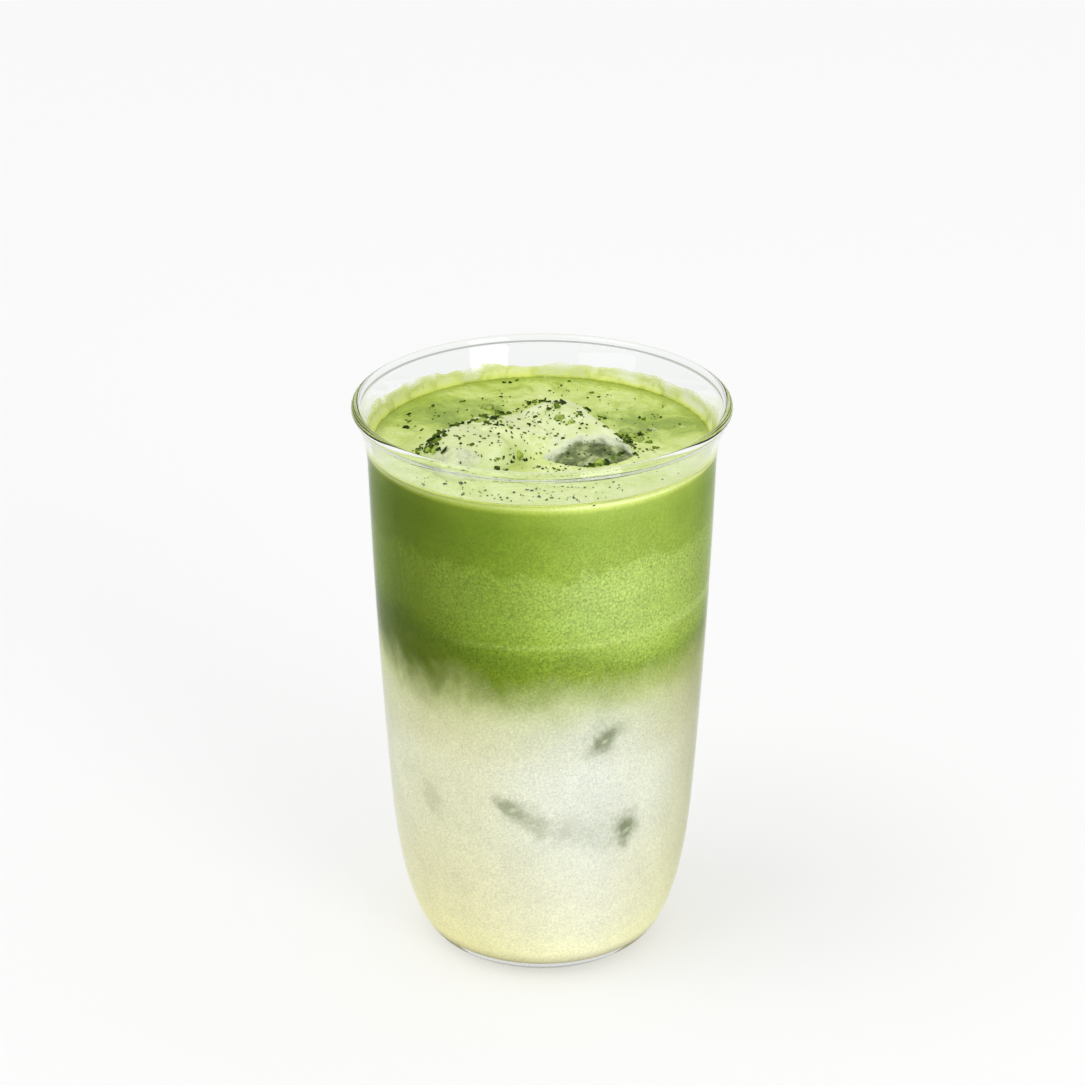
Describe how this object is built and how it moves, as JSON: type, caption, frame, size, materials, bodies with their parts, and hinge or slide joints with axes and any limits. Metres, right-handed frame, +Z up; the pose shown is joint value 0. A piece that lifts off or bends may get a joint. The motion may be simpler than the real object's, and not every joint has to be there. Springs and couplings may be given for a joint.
{
  "type": "iced matcha latte",
  "caption": "Iced matcha latte in a clear flared tumbler: milk below, matcha above, foam-coated ice and tea flakes at the surface.",
  "frame": {"origin": "centre of the glass's foot, on the plane it stands on", "axes": "+Z up along the axis of the glass; -Y towards the viewer, +X to the viewer's right"},
  "size_m": [0.088, 0.088, 0.1369],
  "materials": {
    "glass": "clear polished glass",
    "milk": "milk seen through glass",
    "matcha": "matcha and milk, foamed at the top, with dark tea flakes",
    "ice": "ice coated with pale green foam and dark tea flakes"
  },
  "bodies": {
    "root": {"glass": "glass", "milk": "milk", "matcha": "matcha", "ice_right": "ice", "ice_left": "ice"}
  },
  "joints": []
}
